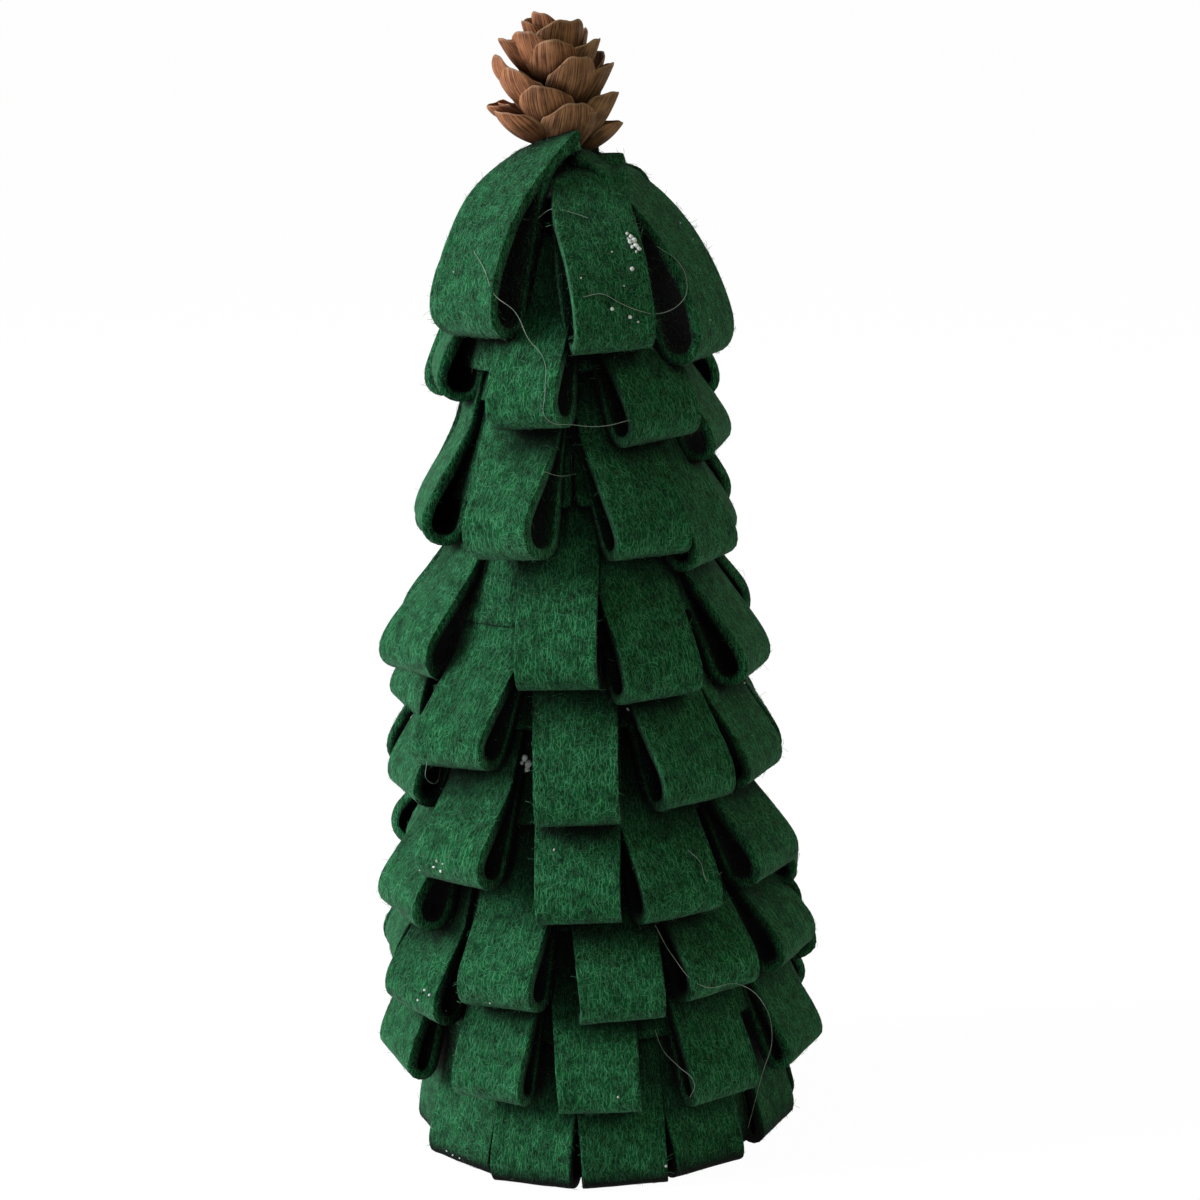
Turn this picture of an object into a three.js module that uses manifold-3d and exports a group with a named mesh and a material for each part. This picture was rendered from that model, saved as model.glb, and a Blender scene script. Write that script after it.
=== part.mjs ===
// A table-top Christmas tree of looped felt: a foam cone dressed in eight bands of felt
// loops, a rosette of six longer loops over its tip, and a natural cone glued on top.
// Millimetres, +Z up. The origin is the middle of the underside, and the front faces -Y.
// Directions round the tree are in degrees, from the front towards the right (+X).

import * as THREE from 'three';
import { mergeVertices } from 'three/addons/utils/BufferGeometryUtils.js';
import Module from 'manifold-3d';

const wasm = await Module();
wasm.setup();

// Driving dimensions

const clearance = 0.3;
const cutOverrun = 5;
const facets = 20;
const foldFacets = 4;

const feltThickness = 2.6;

const coreBaseRadius = 44;
const coreTopRadius = 14;
const coreHeight = 251;

const loopWidth = 21.5;
const loopLength = 50;
const loopDepth = 12.5;
const lowerLoopDepth = 9;
const headingHeight = 18;
const buttGap = 0.8;
const bottomFlare = THREE.MathUtils.degToRad(3);

const topLoopWidth = 21;
const topLoopDepth = 13.5;
const topLoopDrop = 32;
const topLoopPeak = 13;

const stalkRadius = 1.6;
const stalkDepth = 14;
const glueRadius = 5.5;
const glueHeight = 6;

const spindleRadius = 3.4;
const spindleHeight = 33.5;
const scaleCount = 24;
const scaleLength = 18;
const scaleWidth = 15;
const scaleThickness = 0.9;
const lowestScaleSlopes = [ 0, 36 ];
const highestScaleSlopes = [ 45, 85 ];

// The bands from the lowest up. Each has the height of its top edge as a share of the
// foam cone's height, the directions of the usual loops at the front and the sides, and
// the number of loops spread evenly over the rest of the way round the back. An odd loop
// has its direction, how much longer it is than usual, and how deep beside the usual.

const bands = [
	{ headingShare: 0.143, depth: lowerLoopDepth, front: [ - 51, - 23, 4, 29, 66, 93 ], back: 6,
		oddShares: [ [ - 79, 0, 0.65 ] ] },
	{ headingShare: 0.257, depth: lowerLoopDepth, front: [ - 77, - 32, - 3, 32, 66, 95 ], back: 6,
		oddShares: [] },
	{ headingShare: 0.365, depth: loopDepth, front: [ - 89, - 28, 34, 66, 96 ], back: 6,
		oddShares: [ [ - 61, 0.14, 1 ], [ 5, 0.06, 1 ] ] },
	{ headingShare: 0.462, depth: loopDepth, front: [ - 5, 58, 88 ], back: 6,
		oddShares: [ [ - 71, 0.16, 1 ], [ - 43, - 0.12, 1 ], [ 23, 0.06, 1 ] ] },
	{ headingShare: 0.566, depth: loopDepth, front: [ 32, 64, 95 ], back: 5,
		oddShares: [ [ - 74, 0.06, 1 ], [ - 42, - 0.2, 1 ], [ - 4, 0.06, 1 ] ] },
	{ headingShare: 0.687, depth: loopDepth, front: [ - 9, 105 ], back: 4,
		oddShares: [ [ - 74, - 0.08, 1 ], [ 24, 0.06, 1 ], [ 70, 0.08, 1 ] ] },
	{ headingShare: 0.823, depth: loopDepth, front: [ - 73, 25 ], back: 4,
		oddShares: [ [ - 25, 0, 1.3 ], [ 60, 0.09, 1 ], [ 97, 0.1, 1 ] ] },
	{ headingShare: 0.95, depth: loopDepth, front: [ - 15 ], back: 3,
		oddShares: [ [ - 67, - 0.15, 0.9 ], [ 38, 0.09, 1 ], [ 84, 0.12, 0.9 ] ] },
];

// The top loops, each with its direction and how much longer its drop is than usual.

const topLoopShares = [ [ - 43, - 0.12 ], [ 16, 0 ], [ 65, 0.12 ], [ 119, 0 ], [ 180, 0.05 ], [ 241, - 0.04 ] ];

// Places that the sizes above decide

const coreFoot = feltThickness + clearance;
const coreTop = coreFoot + coreHeight;
const coreTilt = Math.atan2( coreBaseRadius - coreTopRadius, coreHeight );
const pairThickness = 2 * feltThickness;
const stalkHoleRadius = stalkRadius + clearance;
const craterRadius = glueRadius + clearance;
const outerReach = coreBaseRadius + loopLength;

// Materials

const felt = new THREE.MeshStandardMaterial( { color: 0x1f6b3f, roughness: 0.95, metalness: 0 } );
const foam = new THREE.MeshStandardMaterial( { color: 0xf2f2ee, roughness: 0.8, metalness: 0 } );
const woody = new THREE.MeshStandardMaterial( { color: 0x7a5238, roughness: 0.75, metalness: 0 } );
const glue = new THREE.MeshStandardMaterial( { color: 0xe8e4d8, roughness: 0.35, metalness: 0 } );

// Solid modelling helpers

function toSolid( geometry ) {

	const bare = geometry.clone();
	bare.deleteAttribute( 'normal' );
	bare.deleteAttribute( 'uv' );
	const merged = mergeVertices( bare );
	const vertProperties = new Float32Array( merged.attributes.position.array );
	const triVerts = new Uint32Array( merged.index.array );
	return new wasm.Manifold( new wasm.Mesh( { numProp: 3, vertProperties, triVerts } ) );

}

function toGeometry( solid ) {

	const mesh = solid.getMesh();
	const geometry = new THREE.BufferGeometry();
	geometry.setAttribute( 'position', new THREE.BufferAttribute( mesh.vertProperties, 3 ) );
	geometry.setIndex( new THREE.BufferAttribute( mesh.triVerts, 1 ) );
	geometry.computeVertexNormals();
	return geometry;

}

// A profile of radius and height, turned once round the tree's axis.

function revolve( profile ) {

	return new THREE.LatheGeometry( profile, facets ).rotateX( Math.PI / 2 );

}

function closedRing( profile ) {

	return toSolid( revolve( [ ...profile, profile[ 0 ].clone() ] ) );

}

// A straight-sided slab that runs out from the axis in one direction, through any height.

function radialSlab( direction, width ) {

	const height = coreTop + 2 * topLoopDepth + 2 * cutOverrun;
	const slab = new THREE.BoxGeometry( width, outerReach, height );
	slab.translate( 0, - outerReach / 2, height / 2 - cutOverrun );
	slab.rotateZ( THREE.MathUtils.degToRad( direction ) );
	return toSolid( slab );

}

function coreRadiusAt( height ) {

	return THREE.MathUtils.mapLinear( height, coreFoot, coreTop, coreBaseRadius, coreTopRadius );

}

// The foam cone stands on the felt disc and has a hole in its flat top for the stalk.

function foamCone() {

	return revolve( [
		new THREE.Vector2( 0, coreFoot ),
		new THREE.Vector2( coreBaseRadius, coreFoot ),
		new THREE.Vector2( coreTopRadius, coreTop ),
		new THREE.Vector2( stalkHoleRadius, coreTop ),
		new THREE.Vector2( stalkHoleRadius, coreTop - stalkDepth - clearance ),
		new THREE.Vector2( 0, coreTop - stalkDepth - clearance ),
	] );

}

function baseDisc() {

	return revolve( [
		new THREE.Vector2( 0, 0 ),
		new THREE.Vector2( coreBaseRadius, 0 ),
		new THREE.Vector2( coreBaseRadius, feltThickness ),
		new THREE.Vector2( 0, feltThickness ),
	] );

}

// The directions of a band's loops round the back, between the last and the first in front.

function backDirections( band ) {

	const given = [ ...band.front, ...band.oddShares.map( ( [ direction ] ) => direction ) ];
	const last = Math.max( ...given );
	const step = ( Math.min( ...given ) + 360 - last ) / ( band.back + 1 );
	return Array.from( { length: band.back }, ( _, index ) => last + step * ( index + 1 ) );

}

function longest( oddShares ) {

	return Math.max( 0, ...oddShares.map( ( [ , longerShare ] ) => longerShare ) );

}

// A band is folded felt, glued to the foam along its top edge. Its frame starts at that
// edge: x runs down the inner ply and y out through the plies. Each band leans out just
// enough to lie over the band below it, first at that band's top edge, then at the place
// where the loops below open.

function setOutBands() {

	bands.forEach( ( band, index ) => {

		const below = bands[ index - 1 ];
		const above = bands[ index + 1 ];
		band.height = coreFoot + band.headingShare * coreHeight;
		const nextHeight = above ? coreFoot + above.headingShare * coreHeight : coreTop;
		const coverLength = above
			? loopLength * ( 1 + longest( above.oddShares ) )
			: topLoopDrop * ( 1 + longest( topLoopShares ) ) + topLoopDepth / 2;
		const pitchAbove = ( nextHeight - band.height ) / Math.cos( coreTilt );
		band.opening = Math.max( coverLength - pitchAbove, headingHeight ) + clearance;

		band.flare = bottomFlare;
		if ( below ) {

			const pitch = ( band.height - below.height ) / Math.cos( coreTilt );
			const edgeRun = pitch - pairThickness * Math.sin( below.flare );
			const edgeRise = pairThickness * Math.cos( below.flare ) + clearance;
			const openRun = edgeRun + below.opening * Math.cos( below.flare );
			const openRise = edgeRise + below.opening * Math.sin( below.flare );
			band.flare = Math.atan( Math.max( edgeRise / edgeRun, openRise / openRun ) );

		}

		band.lean = coreTilt + band.flare;
		band.origin = new THREE.Vector2( coreRadiusAt( band.height ), band.height );
		band.origin.x += clearance * Math.cos( coreTilt );
		band.origin.y += clearance * Math.sin( coreTilt );

		const radius = band.depth / 2;
		const groundRun = band.origin.y + radius * Math.sin( band.lean ) - radius - clearance;
		const groundEdge = ( band.origin.y - clearance ) / Math.cos( band.lean );
		band.foldStart = below ? loopLength - radius : groundRun / Math.cos( band.lean );
		band.lining = below ? ( band.height - below.height ) / Math.cos( coreTilt ) : groundEdge;

	} );

}

function bandPoint( band, x, y ) {

	return new THREE.Vector2(
		band.origin.x + x * Math.sin( band.lean ) + y * Math.cos( band.lean ),
		band.origin.y - x * Math.cos( band.lean ) + y * Math.sin( band.lean )
	);

}

// Points of a fold, from the inner ply round to the outer one.

function foldArc( radius, place ) {

	return Array.from( { length: foldFacets + 1 }, ( _, index ) => {

		const angle = Math.PI * ( index / foldFacets - 0.5 );
		return place( radius * Math.cos( angle ), radius * Math.sin( angle ) );

	} );

}

// The folded band before it is slit, turned all the way round with loops of one length and
// depth, so that each loop can be cut from it.

function foldedBand( band, longerShare = 0, depthShare = 1 ) {

	const depth = band.depth * depthShare;
	const middle = depth / 2;
	const foldStart = band.foldStart + band.depth / 2 - middle + longerShare * loopLength;
	const place = ( x, y ) => bandPoint( band, foldStart + x, middle + y );

	const outside = [
		bandPoint( band, 0, 0 ),
		...foldArc( middle, place ),
		bandPoint( band, band.opening, pairThickness ),
		bandPoint( band, 0, pairThickness ),
	];
	const hollow = [
		bandPoint( band, band.opening, feltThickness ),
		...foldArc( middle - feltThickness, place ),
	];
	return closedRing( outside ).subtract( closedRing( hollow ) );

}

// Above the slits both plies run all the way round, and behind the loops a lining ply goes
// on down to the next band, so that the foam doesn't show between them.

function loopBand( band ) {

	const slitTop = bandPoint( band, headingHeight, 0 ).y;
	const heading = new THREE.CylinderGeometry( outerReach, outerReach, outerReach, facets );
	heading.rotateX( Math.PI / 2 ).translate( 0, 0, slitTop + outerReach / 2 );
	const lining = closedRing( [
		bandPoint( band, 0, - clearance ),
		bandPoint( band, band.lining, - clearance ),
		bandPoint( band, band.lining, feltThickness + clearance ),
		bandPoint( band, 0, feltThickness + clearance ),
	] );

	const backs = backDirections( band );
	const kept = [ ...band.front, ...backs ].reduce(
		( sum, direction ) => sum.add( radialSlab( direction, loopWidth ) ),
		toSolid( heading ).add( lining )
	);
	const whole = band.oddShares.reduce( ( sum, [ direction, longerShare, depthShare ] ) => {

		const folded = foldedBand( band, longerShare, depthShare );
		return sum.add( folded.intersect( radialSlab( direction, loopWidth ) ) );

	}, foldedBand( band ).intersect( kept ) );

	const seam = ( backs[ 0 ] + backs[ 1 ] ) / 2;
	return whole.subtract( radialSlab( seam, buttGap ) );

}

// The top loops drape over the tip of the foam and over the highest band. The inner ply is
// taut from corner to corner, and the outer ply bows out from the pinched end to the fold.
// The pinched ends stand up in a ring and leave a crater for the glue and the cone's foot.

const topBowShare = 0.78;

function topLoopRing( longerShare ) {

	const highest = bands[ bands.length - 1 ];
	const foldRadius = topLoopDepth / 2;
	const foldHeight = coreTop - topLoopDrop * ( 1 + longerShare );
	const seat = coreTop + clearance;

	const faceRun = highest.origin.y + pairThickness * Math.sin( highest.lean ) - foldHeight;
	const face = bandPoint( highest, faceRun / Math.cos( highest.lean ), pairThickness );
	const leanRoom = foldRadius * ( 1 / Math.cos( highest.lean ) - 1 );
	const foldInside = face.x + clearance + leanRoom;

	const out = new THREE.Vector2( Math.cos( highest.lean ), Math.sin( highest.lean ) );
	const upAndOut = new THREE.Vector2( 1, 1 ).normalize();
	const tipCorner = new THREE.Vector2( coreTopRadius + clearance, seat );
	const bandCorner = bandPoint( highest, - clearance, pairThickness + clearance );
	const bow = topLoopDepth * topBowShare;
	const along = ( point, direction, distance ) => point.clone().addScaledVector( direction, distance );

	const foldMiddle = new THREE.Vector2( foldInside + foldRadius, foldHeight );
	const place = ( down, across ) => new THREE.Vector2( foldMiddle.x + across, foldMiddle.y - down );
	const outerFace = new THREE.SplineCurve( [
		place( 0, foldRadius ),
		along( bandCorner, out, bow ),
		along( tipCorner, upAndOut, pairThickness ),
		new THREE.Vector2( craterRadius, coreTop + topLoopPeak ),
	] );
	const outerSide = new THREE.SplineCurve( [
		place( 0, foldRadius - feltThickness ),
		along( bandCorner, out, bow - feltThickness ),
		along( tipCorner, upAndOut, feltThickness ),
	] );

	const outside = [
		new THREE.Vector2( craterRadius, seat ),
		tipCorner,
		bandCorner,
		...foldArc( foldRadius, place ),
		...outerFace.getPoints( foldFacets ).slice( 1 ),
	];
	const hollow = [
		along( bandCorner, out, feltThickness ),
		...foldArc( foldRadius - feltThickness, place ),
		...outerSide.getPoints( foldFacets ).slice( 1 ),
	];
	return closedRing( outside ).subtract( closedRing( hollow ) );

}

// One top loop keeps to its own sector, where it is pinched in against its neighbours.

function topLoop( [ direction, longerShare ], index ) {

	const ring = topLoopRing( longerShare );
	let loop = ring.intersect( radialSlab( direction, topLoopWidth ) );
	for ( const side of [ - 1, 1 ] ) {

		const [ neighbour ] = topLoopShares.at( ( index + side ) % topLoopShares.length );
		const apart = THREE.MathUtils.euclideanModulo( side * ( neighbour - direction ), 360 );
		const edge = direction + side * apart / 2;
		loop = loop.subtract( radialSlab( edge + side * 90, 2 * outerReach ) );
		loop = loop.subtract( radialSlab( edge, clearance ) );

	}

	return loop;

}

// One scale of the cone is a thin cupped leaf. It springs from the spindle at one slope and
// curls to another, and its edges turn in towards the spindle.

const scaleWidthShares = [ 0.4, 0.9, 1, 0.62 ];
const scaleCupShare = 0.24;
const smallestScaleShare = 0.8;
const scaleColumns = 3;

function coneScale( height, direction, size, slopes ) {

	const along = scaleWidthShares.length - 1;
	const spot = new THREE.Vector2( spindleRadius / 2, height );
	const positions = [];
	for ( let row = 0; row <= along; row ++ ) {

		const slope = THREE.MathUtils.lerp( ...slopes, row / along );
		const outward = new THREE.Vector2( Math.cos( slope ), Math.sin( slope ) );
		const upward = new THREE.Vector2( - outward.y, outward.x );
		const width = scaleWidth * size * scaleWidthShares[ row ];
		for ( let column = 0; column <= scaleColumns; column ++ ) {

			const side = 2 * column / scaleColumns - 1;
			for ( const face of [ - 1, 1 ] ) {

				const lift = scaleCupShare * width * side ** 2 + face * scaleThickness / 2;
				const place = spot.clone().addScaledVector( upward, lift );
				positions.push( place.x, side * width / 2, place.y );

			}

		}

		spot.addScaledVector( outward, scaleLength * size / along );

	}

	const last = scaleColumns;
	const under = ( row, column ) => 2 * ( row * ( last + 1 ) + column );
	const over = ( row, column ) => under( row, column ) + 1;
	const indices = [];
	const quad = ( a, b, c, d ) => indices.push( a, b, c, a, c, d );
	for ( let row = 0; row < along; row ++ ) {

		const next = row + 1;
		for ( let column = 0; column < last; column ++ ) {

			const side = column + 1;
			quad( under( row, column ), under( row, side ), under( next, side ), under( next, column ) );
			quad( over( row, column ), over( next, column ), over( next, side ), over( row, side ) );

		}

		quad( under( row, 0 ), under( next, 0 ), over( next, 0 ), over( row, 0 ) );
		quad( over( row, last ), over( next, last ), under( next, last ), under( row, last ) );

	}

	for ( let column = 0; column < last; column ++ ) {

		const side = column + 1;
		quad( under( 0, column ), over( 0, column ), over( 0, side ), under( 0, side ) );
		quad( over( along, column ), under( along, column ), under( along, side ), over( along, side ) );

	}

	const geometry = new THREE.BufferGeometry();
	geometry.setAttribute( 'position', new THREE.Float32BufferAttribute( positions, 3 ) );
	geometry.setIndex( indices );
	geometry.rotateZ( THREE.MathUtils.degToRad( direction - 90 ) );
	return toSolid( geometry );

}

// The cone stands on the glue, with its stalk in the foam. Its scales follow one another
// round the spindle by the golden angle, from just above the felt's pinched ends. The lowest
// stand almost level, and each is steeper and shorter than the one before.

function pineCone( foot ) {

	const top = foot + spindleHeight;
	const stalkFoot = coreTop - stalkDepth;
	const spindle = toSolid( revolve( [
		new THREE.Vector2( 0, stalkFoot ),
		new THREE.Vector2( stalkRadius, stalkFoot ),
		new THREE.Vector2( stalkRadius, foot ),
		new THREE.Vector2( spindleRadius, foot ),
		new THREE.Vector2( spindleRadius / 2, top ),
		new THREE.Vector2( 0, top ),
	] ) );

	const goldenAngle = 180 * ( 3 - Math.sqrt( 5 ) );
	const lowestScale = coreTop + topLoopPeak + clearance + scaleThickness;
	const highestScale = top - 2 * spindleRadius;
	let cone = spindle;
	for ( let index = 0; index < scaleCount; index ++ ) {

		const share = index / ( scaleCount - 1 );
		const slopes = lowestScaleSlopes.map( ( lowest, end ) =>
			THREE.MathUtils.degToRad( THREE.MathUtils.lerp( lowest, highestScaleSlopes[ end ], share ) ) );
		const height = THREE.MathUtils.lerp( lowestScale, highestScale, share );
		const size = THREE.MathUtils.lerp( 1, smallestScaleShare, share ** 2 );
		cone = cone.add( coneScale( height, index * goldenAngle, size, slopes ) );

	}

	return cone;

}

// Hot glue fills the crater round the stalk.

function glueRing( foot ) {

	return revolve( [
		new THREE.Vector2( stalkHoleRadius, foot ),
		new THREE.Vector2( glueRadius, foot ),
		new THREE.Vector2( glueRadius, foot + glueHeight ),
		new THREE.Vector2( stalkHoleRadius, foot + glueHeight ),
		new THREE.Vector2( stalkHoleRadius, foot ),
	] );

}

setOutBands();

const tree = new THREE.Group();

function addPiece( name, geometry, material ) {

	const mesh = new THREE.Mesh( geometry, material );
	mesh.name = name;
	tree.add( mesh );

}

addPiece( 'base_disc', baseDisc(), felt );
addPiece( 'foam_cone', foamCone(), foam );

bands.forEach( ( band, index ) => {

	addPiece( `loop_band_${ index + 1 }`, toGeometry( loopBand( band ) ), felt );

} );

topLoopShares.forEach( ( shares, index ) => {

	addPiece( `top_loop_${ index + 1 }`, toGeometry( topLoop( shares, index ) ), felt );

} );

const glueFoot = coreTop + clearance;
addPiece( 'glue_ring', glueRing( glueFoot ), glue );
addPiece( 'pine_cone', toGeometry( pineCone( glueFoot + glueHeight + clearance ) ), woody );

export default tree;
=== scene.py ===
"""A table-top Christmas tree of looped felt on a foam cone, with a natural cone on top.

Metres, +Z up, the front faces -Y. Directions round the tree are in degrees, from the front
towards the right (+X).
"""

import math

import bpy
import numpy as np
from mathutils import Matrix, Quaternion, Vector
from mathutils.geometry import interpolate_bezier


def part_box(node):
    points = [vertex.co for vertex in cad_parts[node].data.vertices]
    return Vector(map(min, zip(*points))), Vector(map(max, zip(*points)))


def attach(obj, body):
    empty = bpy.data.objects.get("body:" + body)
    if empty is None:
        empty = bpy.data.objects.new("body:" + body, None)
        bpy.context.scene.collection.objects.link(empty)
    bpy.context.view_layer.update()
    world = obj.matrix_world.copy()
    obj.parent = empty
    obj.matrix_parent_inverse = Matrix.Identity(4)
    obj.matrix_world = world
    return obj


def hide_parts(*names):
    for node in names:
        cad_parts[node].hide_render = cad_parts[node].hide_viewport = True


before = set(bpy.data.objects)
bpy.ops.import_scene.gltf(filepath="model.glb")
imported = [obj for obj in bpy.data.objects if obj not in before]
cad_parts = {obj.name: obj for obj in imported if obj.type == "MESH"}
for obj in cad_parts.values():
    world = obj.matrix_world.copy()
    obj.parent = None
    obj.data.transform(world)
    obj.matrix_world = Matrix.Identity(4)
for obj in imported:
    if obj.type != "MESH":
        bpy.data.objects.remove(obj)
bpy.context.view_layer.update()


# Camera
# The tree was photographed from in front and a little above, with the camera tipped a few
# degrees, so the tree leans in the picture.

camera_distance = 0.824
camera_height = 0.333
camera_aim = Vector((0.0054, 0, 0.1445))
camera_roll = math.radians(-3.2)
picture_size = 1200
focal_pixels = 3193

bpy.ops.object.camera_add(location=(0, -camera_distance, camera_height))
camera = bpy.context.object
camera.data.lens = camera.data.sensor_width * focal_pixels / picture_size
camera.data.clip_start = camera_distance / 50
camera.data.clip_end = camera_distance * 50
camera.rotation_mode = "QUATERNION"
to_aim = (camera_aim - camera.location).to_track_quat("-Z", "Y")
camera.rotation_quaternion = to_aim @ Quaternion((0, 0, 1), camera_roll)
bpy.context.scene.camera = camera


# Floor and light
# The tree stands on a plain pale floor. A broad soft light comes from the left, a little in
# front and above, and the pale room round it fills the shadows.

floor_size = 60
floor_colour = (0.86, 0.86, 0.85, 1)
floor_roughness = 0.9
floor_brightness = 1.04
floor_shadow_share = 0.06
room_colour = (0.86, 0.96, 0.80, 1)
room_strength = 0.10
backdrop_colour = (1, 1, 1, 1)
window_place = Vector((-1.56, -0.14, 0.85))
window_size = 0.8
window_power = 48
window_colour = (0.86, 0.90, 0.98)
lamp_place = Vector((1.3, -1.0, 0.9))
lamp_size = 0.8
lamp_power = 5.2
lamp_colour = (0.92, 0.96, 0.7)

bpy.ops.mesh.primitive_plane_add(size=floor_size)
floor = bpy.context.object
floor.name = "floor"


def give(tree, node, given):
    """Gives each named input of a node an output to follow or a plain value."""
    for name, value in given.items():
        if isinstance(value, bpy.types.NodeSocket):
            tree.links.new(value, node.inputs[name])
        else:
            node.inputs[name].default_value = value
    return node


def joined(tree, node_type, given=None, **settings):
    """Adds a node with its settings and gives it its inputs."""
    node = tree.nodes.new(node_type)
    for name, value in settings.items():
        setattr(node, name, value)
    return give(tree, node, given or {})


def worked_out(tree, operation, *given, node_type="ShaderNodeMath"):
    """One step of arithmetic on outputs and plain values."""
    return joined(tree, node_type, dict(enumerate(given)), operation=operation).outputs[0]


def new_material(name):
    """A new material, its nodes and the one that holds its finish."""
    material = bpy.data.materials.new(name)
    material.use_nodes = True
    return material, material.node_tree, material.node_tree.nodes["Principled BSDF"]


def seen_directly(tree, share):
    """The share where the camera, a mirror or glass looks, and zero where light falls."""
    rays = joined(tree, "ShaderNodeLightPath").outputs
    seen = rays["Is Camera Ray"]
    for other in ("Is Glossy Ray", "Is Transmission Ray"):
        seen = worked_out(tree, "MAXIMUM", seen, rays[other])
    return worked_out(tree, "MULTIPLY", seen, share)


floor_paint, floor_tree, floor_finish = new_material("floor paint")
give(floor_tree, floor_finish, {"Base Color": floor_colour, "Roughness": floor_roughness})
floor_white = joined(floor_tree, "ShaderNodeEmission", {"Strength": floor_brightness})
floor_mix = joined(floor_tree, "ShaderNodeMixShader", {
    0: seen_directly(floor_tree, 1 - floor_shadow_share),
    1: floor_finish.outputs[0],
    2: floor_white.outputs[0],
})
give(floor_tree, floor_tree.nodes["Material Output"], {"Surface": floor_mix.outputs[0]})
floor.data.materials.append(floor_paint)

room = bpy.data.worlds.new("room")
room.use_nodes = True
bpy.context.scene.world = room
room_tree = room.node_tree
room_light = give(room_tree, room_tree.nodes["Background"], {
    "Color": room_colour,
    "Strength": room_strength,
})
backdrop = joined(room_tree, "ShaderNodeBackground", {"Color": backdrop_colour, "Strength": 1})
room_mix = joined(room_tree, "ShaderNodeMixShader", {
    0: seen_directly(room_tree, 1),
    1: room_light.outputs[0],
    2: backdrop.outputs[0],
})
give(room_tree, room_tree.nodes["World Output"], {"Surface": room_mix.outputs[0]})


def soft_light(name, place, size, power, colour):
    bpy.ops.object.light_add(type="AREA", location=place)
    light = bpy.context.object
    light.name = name
    light.data.size = size
    light.data.energy = power
    light.data.color = colour
    light.rotation_mode = "QUATERNION"
    light.rotation_quaternion = (camera_aim - place).to_track_quat("-Z", "Y")


soft_light("window", window_place, window_size, window_power, window_colour)
soft_light("lamp", lamp_place, lamp_size, lamp_power, lamp_colour)

bpy.context.scene.view_settings.view_transform = "Standard"


# Felt
# Needled polyester craft felt: a mat of crossing fibres, deep green in its pores, with paler
# fibres that lie on top, most of them along the strip. A cut edge shows the mat from its side.

felt_thickness = 0.0028
felt_deep = (0.0003, 0.0090, 0.0024, 1)
felt_green = (0.0055, 0.0980, 0.0260, 1)
felt_pale = (0.1400, 0.5700, 0.2500, 1)
felt_roughness = 0.95
felt_gloss = 0.1
felt_sheen = (0.7500, 0.9200, 0.8200, 1)
felt_sheen_share = 0.12
felt_sheen_roughness = 0.4
felt_bump_share = 0.9
felt_bump_height = 0.0003
fibre_layers = 9
fibre_spacing = 0.0018
fibre_length = 0.0030
fibre_width = 0.00011
fibre_end = 0.0006
fibre_curl = 110
pore_size = 0.0007
pore_roughness = 0.65
patch_size = 0.0035
patch_share = 0.5
patch_range = (0.32, 0.66)
fewest_fibres = 0.35
deep_body = 0.56
full_body = 0.92
# Painted shade: the felt's colour and sheen tint are darkened in hollows and between loops.
painted_shade_reach = 0.018
painted_shade_samples = 6
painted_shade_range = (0.48, 0.86)
darkest_painted_shade = 0.002

# The colour inputs of a Mix node and its colour output.
first_colour = 6
second_colour = 7
mixed_colour = 2


def ranged(tree, value, start, end, low, high):
    """Carries a value between a start and an end over to one between low and high."""
    return joined(tree, "ShaderNodeMapRange", {
        "Value": value, "From Min": start, "From Max": end, "To Min": low, "To Max": high,
    }).outputs[0]


def noise(tree, place, grain, detail, roughness=0.5):
    """A share that changes softly from place to place, in patches of one size."""
    return joined(tree, "ShaderNodeTexNoise", {
        "Vector": place, "Scale": 1 / grain, "Detail": detail, "Roughness": roughness,
    }).outputs["Fac"]


def ramp(tree, share, low, high):
    """Colours a share, from one position and its colour to another."""
    node = joined(tree, "ShaderNodeValToRGB", {"Fac": share})
    for element, (position, colour) in zip(node.color_ramp.elements, (low, high)):
        element.position = position
        element.color = colour
    return node.outputs["Color"]


def mixed(tree, first, second, factor=1, blend="MIX"):
    """Mixes two colours, each one an output or a plain value."""
    return joined(
        tree, "ShaderNodeMix", {"Factor": factor, first_colour: first, second_colour: second},
        data_type="RGBA", blend_type=blend,
    ).outputs[mixed_colour]


def painted_hollow_shade(tree, samples, closed, opened, darkest):
    """Painted shade: how much light reaches a place, from the darkest share in a hollow up to
    one.
    """
    hollow = joined(
        tree, "ShaderNodeAmbientOcclusion", {"Distance": painted_shade_reach}, samples=samples
    )
    return ranged(tree, hollow.outputs["AO"], closed, opened, darkest, 1)


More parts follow.
